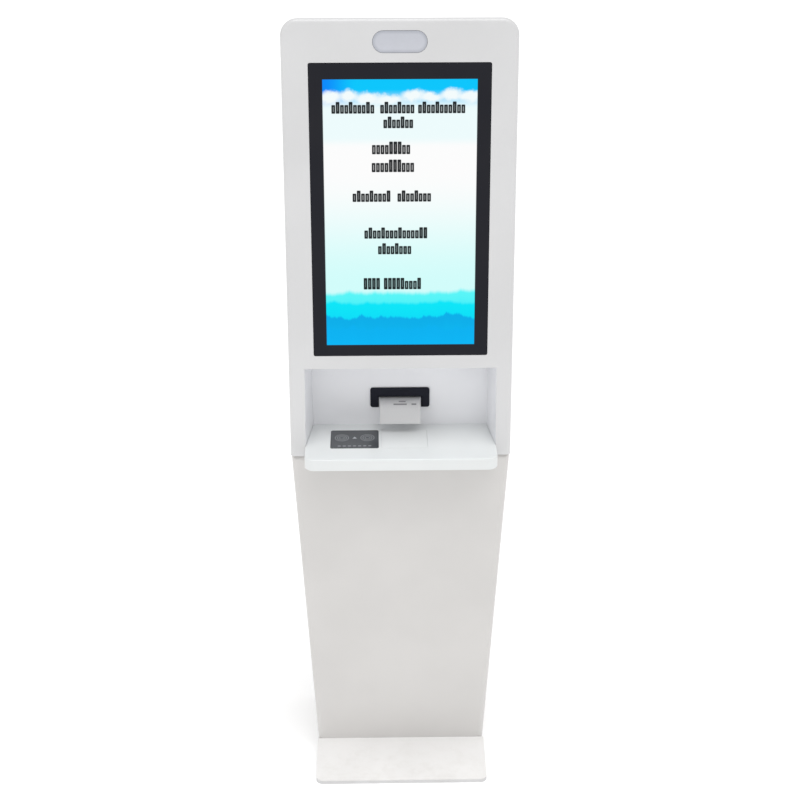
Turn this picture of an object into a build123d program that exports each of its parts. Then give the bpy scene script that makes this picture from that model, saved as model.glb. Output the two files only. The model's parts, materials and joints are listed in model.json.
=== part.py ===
"""A free-standing queue-ticket kiosk: a leaning display head on a tapered sheet-steel column.

Millimetres, +Z up, the customer stands at -Y, and the origin is the middle of the base on the floor.
Sizes "up the face" and "behind the face" are taken in the head's leaning front plane.
"""
import os
from math import atan2, cos, degrees, pi, radians, sin, sqrt, tan

from build123d import *

# ---------------------------------------------------------------- overall sizes
TOTAL_H = 1480.0
HEAD_W = 410.0
HEAD_LEAN = 3.0          # degrees back from upright
HEAD_LOW = 685.0         # height of the head's lower edge
HEAD_CORNER_R = 30.0
ROOF_FALL = 10.0         # degrees down towards the back
REAR_Y = 150.0
SHEET = 2.0
BEND_R = 8.0
FRAME_WRAP = 24.0        # how far the front frame wraps round the head
SEAM = 0.3
FIT = 0.3                # gap between pieces that are set into each other

# ---------------------------------------------------------------- display
LIT_Z = 1138.6           # height of the middle of the lit area
LIT_Y = -81.0
GLASS_W, GLASS_H, GLASS_T = 316.0, 525.3, 4.0
GLASS_RISE = 3.6         # glass middle above the lit area's middle
GLASS_CORNER_R, GLASS_EDGE = 3.0, 0.6
GLASS_INSET = 0.3
GLASS_GAP = 0.5
GASKET_MARGIN = 10.0
PANEL_W, PANEL_H, PANEL_T = 292.0, 496.0, 12.0
RETAINER_T, RETAINER_LAP = 1.5, 8.0
HOUSING_D = 34.0
HOUSING_WALL = 1.5
RAIL_D, RAIL_H, RAIL_RISE = 15.0, 30.0, 170.0
BOARD_W, BOARD_H, BOARD_T = 120.0, 80.0, 1.6
STANDOFF_H, STANDOFF_SIZE, STANDOFF_INSET = 6.4, 6.0, 9.0
CHIP_SIZE, CHIP_T = 18.0, 3.0
CHIP_PLACES = ((-30.0, 10.0), (10.0, -12.0), (34.0, 18.0))
COMPUTER_HALF, COMPUTER_D = 88.0, 40.0
COMPUTER_CORNER_R = 5.0
SINK_HALF, SINK_D, SINK_FINS = 60.0, 22.0, 13
SINK_BASE_T, FIN_T = 4.0, 3.0

# ---------------------------------------------------------------- camera window
CAMERA_RISE = 301.6
CAMERA_W, CAMERA_H, CAMERA_T = 94.0, 37.0, 3.0
CAMERA_BOX_W, CAMERA_BOX_H, CAMERA_BOX_D = 112.0, 44.0, 12.0
CAMERA_ROOM_W, CAMERA_ROOM_H = 70.0, 26.0
CAMERA_BOX_BACK = 3.0
CAMERA_BOARD_W, CAMERA_BOARD_H, CAMERA_BOARD_T = 60.0, 22.0, 2.0
LENS_R, LENS_WALL = 9.0, 3.0
LENS_FRONT, LENS_GLASS_FRONT = 5.0, 6.5      # depths behind the face

# ---------------------------------------------------------------- ticket bay
BAY_TOP = 855.0
BAY_BACK_Y = -18.0
BAY_MARGIN = 39.5        # from the head's side to the bay's back corner
BAY_SPLAY = 0.135        # widening of each side per millimetre towards the front
LINER_T = 1.5
LINER_LOW = 690.0
SHELF_FRONT_Y, SHELF_FRONT_Z = -157.0, 700.0
SHELF_BACK_Z = 712.0
SHELF_MARGIN = 27.0      # from the head's side to the shelf's end
SHELF_T = 3.0
SHELF_EDGE_R = 2.6
SHELF_LIP = 22.0
SHELF_CORNER_R = 19.0
SHELF_GAP = 0.4          # between the shelf's edges and the bay's walls

# ---------------------------------------------------------------- card reader and blanking plate
READER_X = (-131.0, -41.0)
READER_Y = (-113.0, -42.0)
BLANK_X = (-36.0, 50.0)
INSERT_GAP = 0.25
INSERT_R = 4.0
READER_BOX_D, READER_BOX_INSET = 16.0, 4.0

# ---------------------------------------------------------------- column, base and foot
COLUMN_TOP_INSET, COLUMN_LOW_INSET = 1.0, 2.8      # inside the head's side and the base's edge
COLUMN_TOP_Y, COLUMN_LOW_Y = -101.8, -53.3
COLUMN_BEND_R = 10.0
COLUMN_WRAP = 24.0
REAR_FLANGE = 20.0
BASE_HALF = 170.0
BASE_T = 6.0
BASE_CORNER_R = 14.0
FOOT_REAR_Z, FOOT_FRONT_Z = 30.0, 8.0
FOOT_FRONT_GAP = 1.0
ANCHOR_X, ANCHOR_Y, ANCHOR_R = 130.0, 120.0, 6.5
CABLE_HOLE_Y, CABLE_HOLE_R = 115.0, 25.0
TONGUE_GAP = 0.6
DECK_T = 2.0
POST_X, POST_FRONT_Y, POST_REAR_Y, POST_SIZE = 95.0, -20.0, 110.0, 20.0
POST_WALL = 2.0

# ---------------------------------------------------------------- ticket printer
WEB_Z = 767.0
PAPER_W, PAPER_T = 76.0, 0.2
SLOT_ROOM, SLOT_H = 4.0, 5.0                 # room at each end of the paper
BEZEL_SIDE, BEZEL_T = 18.0, 4.0
BEZEL_Z = (748.5, 787.6)
BEZEL_CORNER_R, BEZEL_EDGE = 4.5, 1.2
BEZEL_MOUTH_Z = 769.5
BEZEL_MOUTH_ROOM, BEZEL_FLARE = 2.0, 2.4
CHASSIS_ROOM, CHASSIS_T = 10.0, 2.0
CHASSIS_Y = (4.0, 135.0)
CHASSIS_TOP = 795.0
PLATEN_Y, PLATEN_R = 16.0, 6.0
PLATEN_GAP = 0.1
SHAFT_R = 2.5
RUN_GAP = 0.05
ROLL_R, CORE_R, SPINDLE_R, ROLL_TO_DOOR = 45.0, 12.5, 6.0, 4.0
ROLL_CLEAR, CORE_LIP, SPINDLE_END = 6.6, 3.0, 4.0
HINGE_Y, HINGE_Z, HINGE_R = 34.0, 785.0, 2.0
HEAD_BAR_Y = (8.0, 24.0)
HEAD_GAP, HEAD_BAR_H = 0.3, 9.0
BLADE_Y, BLADE_T = -6.0, 1.2
BLADE_LAP, BLADE_Z = 5.4, (769.0, 784.0)
CUT_GAP = 0.4
CUTTER_LAP, CUTTER_REAR_Y = 14.0, 2.0
CUTTER_Z = (748.0, 792.0)
TICKET_STRAIGHT_Y, TICKET_BEND_R, TICKET_BEND, TICKET_TAIL = -26.0, 28.0, 72.0, 19.0

# gear train from the platen to the motor
MODULE = 0.6
PRESSURE = radians(20.0)
PLATEN_TEETH, IDLER_TEETH, PINION_TEETH = 24, 30, 18
GEAR_CLEAR, GEAR_W = 1.0, 6.0
GEAR_BACKLASH = 0.10
IDLER_DIRECTION, PINION_DIRECTION = -50.0, -110.0
IDLER_PIN_R, MOTOR_SHAFT_R = 2.0, 1.5
MOTOR_R, MOTOR_L = 14.0, 28.0

# ---------------------------------------------------------------- service door
DOOR_Y, DOOR_T = 149.0, 2.0
DOOR_INSET = 5.0
DOOR_LOW = 694.0
DOOR_VENT_Z, DOOR_VENT_PITCH, DOOR_VENT_ROWS = 1330.0, 12.0, 6
DOOR_VENT_X, DOOR_VENT_W, DOOR_VENT_H = 60.0, 80.0, 5.0
STIFFENER_W, STIFFENER_D, STIFFENER_END = 60.0, 12.0, 40.0
RING_Y, RING_T, RING_INSET, RING_W = 145.0, 2.0, 2.3, 22.0
RING_SILL_Z = (686.0, 712.0)
DOOR_SEAL_T, DOOR_SEAL_INSET, DOOR_SEAL_W = 1.7, 8.0, 7.0
DOOR_HINGE_IN, DOOR_HINGE_Y = 2.0, 156.0     # inside the head's side
KNUCKLE_R, HINGE_PIN_R = 4.0, 2.0
HINGE_Z_PLACES = (820.0, 1320.0)
HINGE_LEN = 60.0
LOCK_IN, LOCK_Z, LOCK_R, PLUG_R = 39.0, 1060.0, 9.0, 6.0
LOCK_FLANGE, LOCK_DEPTH = 3.0, 8.0
CAM_LEN, CAM_W, CAM_T = 26.0, 8.0, 2.3

# ---------------------------------------------------------------- rear panel fittings
FAN_Z, FAN_SIZE, FAN_D, FAN_BORE_R = 560.0, 80.0, 25.0, 38.0
FAN_BLADE_R, FAN_HUB_R, FAN_BLADES = 36.0, 15.0, 7
FAN_BLADE_T, FAN_BLADE_CHORD, FAN_PITCH = 1.6, 17.0, 35.0
FAN_PIN_R, FAN_CORNER_R, STRUT_W, STRUT_T = 2.0, 5.0, 4.0, 2.0
GUARD_T, GUARD_RINGS, GUARD_WIRE, GUARD_SPOKE_W = 2.0, (8, 16, 24, 32, 40), 2.0, 2.4
VENT_ROWS, VENT_Z, VENT_PITCH, VENT_H, VENT_W, VENT_X = 7, 180.0, 14.0, 5.0, 70.0, 50.0
SERVICE_Z = 62.0
FLANGE_T = 2.0
INLET_X, INLET_W, INLET_H = 40.0, 31.0, 24.0
INLET_PINS = ((-7.0, -3.0), (0.0, 3.0), (7.0, -3.0))
SWITCH_X, SWITCH_W, SWITCH_H, SWITCH_WALL = 0.0, 15.0, 22.0, 1.5
ROCKER_AT = (REAR_Y - 3.0, SERVICE_Z)
ROCKER_PIN_R, ROCKER_PIN_L, ROCKER_TILT = 1.2, 1.2, 8.0
NETWORK_X, NETWORK_W, NETWORK_H = -36.0, 17.0, 15.0
SCREW_R, SCREW_HEAD_R, SCREW_HEAD_H = 2.0, 4.0, 2.0
SCREW_LEVELS = (60.0, 340.0, 620.0)
SUPPLY_X, SUPPLY_Y, SUPPLY_H = (-75.0, 75.0), (0.0, 86.0), 140.0
SUPPLY_SLOTS, SUPPLY_SLOT_W, SUPPLY_SLOT_PITCH = 7, 4.0, 9.0

# ---------------------------------------------------------------- directions worked out from the above
LEAN = radians(HEAD_LEAN)
FALL = radians(ROOF_FALL)
FACE = Plane(origin=(0, LIT_Y, LIT_Z), x_dir=(1, 0, 0), z_dir=(0, -cos(LEAN), sin(LEAN)))
ROOF_DIR = Vector(0, cos(FALL), -sin(FALL))
FACE_TOP = (TOTAL_H - LIT_Z) / cos(LEAN)
FACE_LOW = (HEAD_LOW - LIT_Z) / cos(LEAN)
HEAD_REACH = 330.0       # longer than the head is deep
BEYOND = 700.0           # larger than the kiosk is wide or deep
COLUMN_TOP_HALF, COLUMN_LOW_HALF = HEAD_W / 2 - COLUMN_TOP_INSET, BASE_HALF - COLUMN_LOW_INSET
BAY_BACK_HALF, SHELF_W = HEAD_W / 2 - BAY_MARGIN, HEAD_W - 2 * SHELF_MARGIN
DOOR_HINGE_X, LOCK_X = DOOR_HINGE_IN - HEAD_W / 2, HEAD_W / 2 - LOCK_IN

PAPER_HALF = PAPER_W / 2
SLOT_W, BEZEL_W = PAPER_W + 2 * SLOT_ROOM, PAPER_W + 2 * BEZEL_SIDE
BEZEL_MOUTH_HALF = PAPER_HALF + BEZEL_MOUTH_ROOM
CHASSIS_HALF = PAPER_HALF + CHASSIS_ROOM + CHASSIS_T
BLADE_HALF, CUTTER_HALF = PAPER_HALF + BLADE_LAP, PAPER_HALF + CUTTER_LAP
GEAR_X = (CHASSIS_HALF + GEAR_CLEAR, CHASSIS_HALF + GEAR_CLEAR + GEAR_W)
MOTOR_X = (CHASSIS_HALF - CHASSIS_T - MOTOR_L, CHASSIS_HALF - CHASSIS_T)

WEB_LOW, WEB_HIGH = WEB_Z - PAPER_T / 2, WEB_Z + PAPER_T / 2
PLATEN_Z = WEB_LOW - PLATEN_GAP - PLATEN_R
ROLL_Y = DOOR_Y - STIFFENER_D - ROLL_TO_DOOR - ROLL_R
ROLL_Z = WEB_LOW - HEAD_GAP - ROLL_R
CHASSIS_LOW = ROLL_Z - ROLL_R - ROLL_CLEAR - CHASSIS_T
DECK_Z = CHASSIS_LOW - DECK_T
CUT_FACE_Y = BLADE_Y - BLADE_T / 2 - CUT_GAP     # where the cutter parts the ticket from the web


def face_y(z):
    """Y of the head's front plane at a height."""
    return LIT_Y + (z - LIT_Z) * tan(LEAN)


def column_half(z):
    """Half the column's width at a height."""
    share = (z - BASE_T) / (HEAD_LOW - BASE_T)
    return COLUMN_LOW_HALF + (COLUMN_TOP_HALF - COLUMN_LOW_HALF) * share


def column_y(z):
    """Y of the column's front plane at a height."""
    share = (z - BASE_T) / (HEAD_LOW - BASE_T)
    return COLUMN_LOW_Y + (COLUMN_TOP_Y - COLUMN_LOW_Y) * share


def bay_half(y):
    """Half the ticket bay's width at a depth."""
    return BAY_BACK_HALF + (BAY_BACK_Y - y) * BAY_SPLAY


def shelf_z(y):
    """Height of the shelf's upper surface at a depth."""
    rise = (SHELF_BACK_Z - SHELF_FRONT_Z) / (BAY_BACK_Y - SHELF_FRONT_Y)
    return SHELF_FRONT_Z + (y - SHELF_FRONT_Y) * rise


# ---------------------------------------------------------------- small shapes
def block(x, y, z):
    """A box between two values on each axis."""
    centre = Pos((x[0] + x[1]) / 2, (y[0] + y[1]) / 2, (z[0] + z[1]) / 2)
    return centre * Box(x[1] - x[0], y[1] - y[0], z[1] - z[0])


def slab(x, s, d):
    """A box in the head's leaning frame: across, up the face, and behind it."""
    centre = Pos((x[0] + x[1]) / 2, (s[0] + s[1]) / 2, -(d[0] + d[1]) / 2)
    return FACE.location * centre * Box(x[1] - x[0], s[1] - s[0], d[1] - d[0])


def on_face(sketch, d):
    """A flat outline pushed through from one depth behind the face to another."""
    return extrude(FACE.offset(-d[0]).location * sketch, amount=-(d[1] - d[0]))


def rod(axis, at, reach, r):
    """A round bar along X, Y or Z: its other two coordinates, its two ends and its radius."""
    middle, length = (reach[0] + reach[1]) / 2, reach[1] - reach[0]
    if axis == "x":
        return Pos(middle, at[0], at[1]) * Rot(0, 90, 0) * Cylinder(r, length)
    if axis == "y":
        return Pos(at[0], middle, at[1]) * Rot(90, 0, 0) * Cylinder(r, length)
    return Pos(at[0], at[1], middle) * Cylinder(r, length)


def prism_x(outline, x):
    """A (y, z) outline pushed along X between two values."""
    face = make_face(Polyline(*[(x[0], y, z) for y, z in outline], close=True))
    return extrude(face, amount=x[1] - x[0], dir=(1, 0, 0))


def prism_z(outline, z):
    """An (x, y) outline pushed along Z between two values."""
    face = make_face(Polyline(*[(x, y, z[0]) for x, y in outline], close=True))
    return extrude(face, amount=z[1] - z[0], dir=(0, 0, 1))


def both_sides(x):
    """The pair of X ranges that mirror each other."""
    return [(x[0], x[1]), (-x[1], -x[0])]


def below_shelf(low, high):
    """The layer that lies between two distances under the shelf's upper surface."""
    front, back = SHELF_FRONT_Y - 50, BAY_BACK_Y + 50
    outline = [(front, shelf_z(front) - high), (back, shelf_z(back) - high),
               (back, shelf_z(back) - low), (front, shelf_z(front) - low)]
    return prism_x(outline, (-BEYOND, BEYOND))


def gear(teeth, at, phase, x):
    """An involute spur gear about X, with one tooth's middle at the phase angle."""
    pitch_r = MODULE * teeth / 2
    base_r, tip_r, root_r = pitch_r * cos(PRESSURE), pitch_r + MODULE, pitch_r - 1.25 * MODULE
    half_tooth = (pi * MODULE / 2 - GEAR_BACKLASH) / 2 / pitch_r + tan(PRESSURE) - PRESSURE

    def half_angle(r):
        roll = sqrt(max((r / base_r) ** 2 - 1, 0))
        return half_tooth - (roll - atan2(roll, 1))

    start = max(base_r, root_r)
    radii = [start + (tip_r - start) * i / 4 for i in range(5)]
    outline = []
    for tooth in range(teeth):
        middle = radians(phase) + 2 * pi * tooth / teeth
        flank = [(r, half_angle(r)) for r in radii]
        if root_r < start:
            flank.insert(0, (root_r, half_angle(start)))
        for r, angle in flank:
            outline.append((r, middle - angle))
        for r, angle in reversed(flank):
            outline.append((r, middle + angle))
    points = [(at[0] + r * cos(a), at[1] + r * sin(a)) for r, a in outline]
    return prism_x(points, x)


def step_from(start, distance, angle):
    """The (y, z) point that lies at a distance and an angle from another."""
    return start[0] + distance * cos(radians(angle)), start[1] + distance * sin(radians(angle))


PLATEN_AT = (PLATEN_Y, PLATEN_Z)
IDLER_AT = step_from(PLATEN_AT, MODULE * (PLATEN_TEETH + IDLER_TEETH) / 2, IDLER_DIRECTION)
PINION_AT = step_from(IDLER_AT, MODULE * (IDLER_TEETH + PINION_TEETH) / 2, PINION_DIRECTION)
IDLER_PHASE = IDLER_DIRECTION + 180 - 180 / IDLER_TEETH
TEETH_TO_PINION = (PINION_DIRECTION - IDLER_PHASE) * IDLER_TEETH / 360
PINION_PHASE = PINION_DIRECTION + 180 - (TEETH_TO_PINION + 0.5) * 360 / PINION_TEETH


# ---------------------------------------------------------------- head
def head_outline(inset, low=FACE_LOW - 60):
    """The head seen square to its face: upright sides and two round upper corners."""
    top = FACE_TOP - inset
    sketch = Pos(0, (top + low) / 2) * Rectangle(HEAD_W - 2 * inset, top - low)
    return fillet(sketch.vertices().group_by(Axis.Y)[-1], max(HEAD_CORNER_R - inset, 1))


def swept_back(sketch, depth=0.0):
    """A face outline carried back along the falling roof line."""
    return extrude(FACE.offset(-depth).location * sketch, amount=HEAD_REACH, dir=ROOF_DIR)


def head_solid(inset):
    """The head's outside, or its inside a sheet in, with bent front edges."""
    solid = swept_back(head_outline(inset), inset)
    plane = FACE.offset(-inset)
    front = [e for e in solid.edges() if abs(plane.to_local_coords(e.center()).Z) < 0.01]
    bends = [e for e in front if plane.to_local_coords(e.center()).Y > FACE_LOW - 50]
    return fillet(bends, BEND_R - inset)


def bay_opening():
    """The gap in the frame that lines up with the ticket bay's walls."""
    top, low = BAY_TOP, HEAD_LOW - 20
    points = []
    for z in (low, top):
        s = (z - LIT_Z) / cos(LEAN)
        points.append((bay_half(face_y(z)), s))
    outline = [(-points[0][0], points[0][1]), points[0], points[1], (-points[1][0], points[1][1])]
    return on_face(make_face(Polyline(*outline, close=True)), (-10, FRAME_WRAP + 30))


def glass_outline(grow):
    """The cover glass's outline, grown by a margin."""
    plan = RectangleRounded(GLASS_W + 2 * grow, GLASS_H + 2 * grow, GLASS_CORNER_R + grow)
    return Pos(0, GLASS_RISE) * plan


def front_frame():
    """The pressed front frame with its three openings."""
    wrap = slab((-BEYOND, BEYOND), (-BEYOND, BEYOND), (-5, FRAME_WRAP))
    room = block((-BEYOND, BEYOND), (-BEYOND, BEYOND), (HEAD_LOW, TOTAL_H + 50))
    hollow = head_solid(SHEET) & block((-BEYOND, BEYOND), (-BEYOND, BEYOND), (HEAD_LOW + SHEET, TOTAL_H))
    frame = (head_solid(0) & wrap & room) - hollow
    frame -= on_face(glass_outline(GLASS_GAP), (-5, 10))
    pill = SlotOverall(CAMERA_W + 2 * GLASS_GAP, CAMERA_H + 2 * GLASS_GAP)
    frame -= on_face(Pos(0, CAMERA_RISE) * pill, (-5, 10))
    return frame - bay_opening()


def behind_frame():
    """The space that the head's side and roof sheets fill."""
    room = block((-BEYOND, BEYOND), (-BEYOND, REAR_Y), (HEAD_LOW, TOTAL_H + 50))
    return room - slab((-BEYOND, BEYOND), (-BEYOND, BEYOND), (-BEYOND, FRAME_WRAP + SEAM))


ROOF_SKIRT = FACE_TOP - HEAD_CORNER_R - 20


def head_side(x):
    """One flat side of the head."""
    low = FACE_LOW - 60
    strip = Pos((x[0] + x[1]) / 2, (ROOF_SKIRT - SEAM + low) / 2)
    sheet = strip * Rectangle(x[1] - x[0], ROOF_SKIRT - SEAM - low)
    return swept_back(sheet) & behind_frame()


def roof():
    """The roof, with both round corners and a short skirt."""
    sheet = head_outline(0, ROOF_SKIRT) - head_outline(SHEET, ROOF_SKIRT - 10)
    return swept_back(sheet) & behind_frame()


# ---------------------------------------------------------------- display
def ring_on_face(w, h, opening_w, opening_h, d):
    """A flat rectangular ring round the glass's middle."""
    sketch = Rectangle(w, h) - Rectangle(opening_w, opening_h)
    return on_face(Pos(0, GLASS_RISE) * sketch, d)


GLASS_BACK = GLASS_INSET + GLASS_T
RETAINER_BACK = GLASS_BACK + RETAINER_T
HOUSING_BACK = RETAINER_BACK + HOUSING_D
RETAINER_W, RETAINER_H = GLASS_W + 2 * GASKET_MARGIN, GLASS_H + 2 * GASKET_MARGIN


def display_glass():
    """The cover glass, with its front edge eased."""
    glass = on_face(glass_outline(0), (GLASS_INSET, GLASS_BACK))
    front = [e for e in glass.edges() if abs(FACE.to_local_coords(e.center()).Z + GLASS_INSET) < 0.01]
    return chamfer(front, GLASS_EDGE)


def display_housing():
    """The open-fronted pan behind the display panel."""
    w, h = GLASS_W, GLASS_H
    pan = ring_on_face(w, h, w - 2 * HOUSING_WALL, h - 2 * HOUSING_WALL, (RETAINER_BACK, HOUSING_BACK))
    back = slab((-w / 2, w / 2), (GLASS_RISE - h / 2, GLASS_RISE + h / 2),
                (HOUSING_BACK - HOUSING_WALL, HOUSING_BACK))
    return pan + back


def driver_board():
    """The display's driver board on four standoffs."""
    back = HOUSING_BACK - HOUSING_WALL
    rear = back - STANDOFF_H
    front = rear - BOARD_T
    half_x, half_s = BOARD_W / 2 - STANDOFF_INSET, BOARD_H / 2 - STANDOFF_INSET

    def square(x, s, size, d):
        return slab((x - size / 2, x + size / 2), (s - size / 2, s + size / 2), d)

    board = slab((-BOARD_W / 2, BOARD_W / 2), (-BOARD_H / 2, BOARD_H / 2), (front, rear))
    for x in (-half_x, half_x):
        for s in (-half_s, half_s):
            board += square(x, s, STANDOFF_SIZE, (rear, back))
    for x, s in CHIP_PLACES:
        board += square(x, s, CHIP_SIZE, (front - CHIP_T, front))
    return board


def display_rails():
    """Two rails across the head that carry the display and the computer."""
    rails = []
    for side in (-1, 1):
        s = GLASS_RISE + side * RAIL_RISE
        half = HEAD_W / 2 - SHEET
        depth = (HOUSING_BACK, HOUSING_BACK + RAIL_D)
        rail = slab((-half, half), (s - RAIL_H / 2, s + RAIL_H / 2), depth)
        hollow = slab((-BEYOND, BEYOND), (s - RAIL_H / 2 + SHEET, s + RAIL_H / 2 - SHEET),
                      (depth[0] + SHEET, depth[1] + SHEET))
        rails.append(rail - hollow)
    return rails


def camera_box():
    """The camera's housing, with a ledge for the window."""
    front = SHEET
    box = slab((-CAMERA_BOX_W / 2, CAMERA_BOX_W / 2),
               (CAMERA_RISE - CAMERA_BOX_H / 2, CAMERA_RISE + CAMERA_BOX_H / 2),
               (front, front + CAMERA_BOX_D))
    pill = SlotOverall(CAMERA_W + 2 * FIT, CAMERA_H + 2 * FIT)
    box -= on_face(Pos(0, CAMERA_RISE) * pill, (front - 1, GLASS_INSET + CAMERA_T))
    return box - slab((-CAMERA_ROOM_W / 2, CAMERA_ROOM_W / 2),
                      (CAMERA_RISE - CAMERA_ROOM_H / 2, CAMERA_RISE + CAMERA_ROOM_H / 2),
                      (front - 1, front + CAMERA_BOX_D - CAMERA_BOX_BACK))


def camera_lens():
    """The lens barrel and its board, seated in the housing."""
    seat = SHEET + CAMERA_BOX_D - CAMERA_BOX_BACK
    board_front = seat - CAMERA_BOARD_T
    middle = Pos(0, CAMERA_RISE)
    barrel = on_face(middle * (Circle(LENS_R) - Circle(LENS_R - LENS_WALL)), (LENS_FRONT, board_front))
    glass = on_face(middle * Circle(LENS_R - LENS_WALL), (LENS_GLASS_FRONT, board_front))
    board = on_face(middle * Rectangle(CAMERA_BOARD_W, CAMERA_BOARD_H), (board_front, seat))
    return barrel + glass + board


# ---------------------------------------------------------------- computer


def computer_case():
    """The small computer on the back of the display."""
    outside = Pos(0, GLASS_RISE) * RectangleRounded(2 * COMPUTER_HALF, 2 * COMPUTER_HALF, COMPUTER_CORNER_R)
    side = 2 * (COMPUTER_HALF - SHEET)
    inside = Pos(0, GLASS_RISE) * Rectangle(side, side)
    case = on_face(outside, (HOUSING_BACK, HOUSING_BACK + COMPUTER_D))
    return case - on_face(inside, (HOUSING_BACK + SHEET, HOUSING_BACK + COMPUTER_D - SHEET))


def heatsink():
    """A finned plate on the computer's back."""
    back = HOUSING_BACK + COMPUTER_D
    tall = (GLASS_RISE - SINK_HALF, GLASS_RISE + SINK_HALF)
    sink = slab((-SINK_HALF, SINK_HALF), tall, (back, back + SINK_BASE_T))
    pitch = (2 * SINK_HALF - FIN_T) / (SINK_FINS - 1)
    for i in range(SINK_FINS):
        x = -SINK_HALF + i * pitch
        sink += slab((x, x + FIN_T), tall, (back + SINK_BASE_T, back + SINK_D))
    return sink


# ---------------------------------------------------------------- ticket bay
def bay_plan(margin, front):
    """The bay seen from above, grown by a margin on the sides and back."""
    return [(-bay_half(front) - margin, front), (bay_half(front) + margin, front),
            (BAY_BACK_HALF + margin, BAY_BACK_Y + margin), (-BAY_BACK_HALF - margin, BAY_BACK_Y + margin)]


def bay_liner():
    """The three walls and ceiling of the ticket bay."""
    front = face_y(LINER_LOW) - 10
    outer = prism_z(bay_plan(LINER_T, front), (LINER_LOW, BAY_TOP + LINER_T))
    inner = prism_z(bay_plan(0, front - 10), (LINER_LOW - 10, BAY_TOP))
    liner = outer - inner
    liner -= slab((-BEYOND, BEYOND), (-BEYOND, BEYOND), (-50, SHEET))
    slot = block((-SLOT_W / 2, SLOT_W / 2), (BAY_BACK_Y - 5, BAY_BACK_Y + 5),
                 (WEB_Z - SLOT_H / 2, WEB_Z + SLOT_H / 2))
    return liner - slot


def inserts_cut(x, gap):
    """An upright block through the shelf for an insert, with round corners."""
    sketch = Pos((x[0] + x[1]) / 2, (READER_Y[0] + READER_Y[1]) / 2) * RectangleRounded(
        x[1] - x[0] + 2 * gap, READER_Y[1] - READER_Y[0] + 2 * gap, INSERT_R)
    return extrude(Plane.XY.offset(SHELF_FRONT_Z - 50).location * sketch, amount=100)


def shelf():
    """The sloping shelf: a plate inside the bay and a lipped tray in front of the frame."""
    face = face_y(SHELF_FRONT_Z)

    def tray_plan(inset, rear):
        low = SHELF_FRONT_Y + inset
        sketch = Pos(0, (low + rear) / 2) * Rectangle(SHELF_W - 2 * inset, rear - low)
        corners = sketch.vertices().group_by(Axis.Y)[0]
        return Plane.XY.offset(SHELF_FRONT_Z - 60).location * fillet(corners, SHELF_CORNER_R - inset)

    rear = face + 20
    tray = extrude(tray_plan(0, rear), amount=120) & below_shelf(0, SHELF_LIP)
    upper = tray.faces().sort_by(Axis.Z)[-1]
    tray = fillet([e for e in upper.edges() if rear - e.center().Y > 1], SHELF_EDGE_R)
    tray -= extrude(tray_plan(SHELF_T, face + 30), amount=120) & below_shelf(SHELF_T, SHELF_LIP + 20)
    tray -= slab((-BEYOND, BEYOND), (-BEYOND, BEYOND), (-FIT, BEYOND))
    half_front, half_rear = bay_half(face) - SHELF_GAP, BAY_BACK_HALF - SHELF_GAP
    tab_half, tab_front = half_front - SHELF_EDGE_R, face - 5
    plan = [(-tab_half, tab_front), (tab_half, tab_front), (half_front, face), (half_rear, BAY_BACK_Y),
            (-half_rear, BAY_BACK_Y), (-half_front, face)]
    plate = prism_z(plan, (SHELF_FRONT_Z - 60, SHELF_FRONT_Z + 60)) & below_shelf(0, SHELF_T)
    whole = tray + plate
    for x in (READER_X, BLANK_X):
        whole -= inserts_cut(x, INSERT_GAP)
    return whole


def shelf_insert(x):
    """A plate set flush into the shelf."""
    return inserts_cut(x, 0) & below_shelf(0, SHELF_T)


def reader_box():
    """The card reader's electronics under its window, inside the head."""
    inset = READER_BOX_INSET
    plan = block((READER_X[0] + inset, READER_X[1] - inset),
                 (column_y(HEAD_LOW) + inset, READER_Y[1] - inset),
                 (SHELF_FRONT_Z - 60, SHELF_FRONT_Z + 60))
    return plan & below_shelf(SHELF_T, SHELF_T + READER_BOX_D)


def printer_bezel():
    """The raised surround over the ticket slot, open at its lower edge."""
    front = BAY_BACK_Y - BEZEL_T
    bezel = block((-BEZEL_W / 2, BEZEL_W / 2), (front, BAY_BACK_Y), BEZEL_Z)
    bezel = fillet(bezel.edges().filter_by(Axis.Y), BEZEL_CORNER_R)
    bezel = fillet(bezel.faces().sort_by(Axis.Y)[0].edges(), BEZEL_EDGE)

    def mouth(y, grow):
        half, low, high = BEZEL_MOUTH_HALF + grow, BEZEL_Z[0] - 20, BEZEL_MOUTH_Z + grow
        corners = [(-half, y, low), (half, y, low), (half, y, high), (-half, y, high)]
        return make_face(Polyline(*corners, close=True))

    flared = loft([mouth(front, BEZEL_FLARE), mouth(front + BEZEL_FLARE, 0)], ruled=True)
    straight = block((-BEZEL_MOUTH_HALF, BEZEL_MOUTH_HALF), (front - 5, BAY_BACK_Y + 5),
                     (BEZEL_Z[0] - 20, BEZEL_MOUTH_Z))
    return bezel - flared - straight


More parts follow.
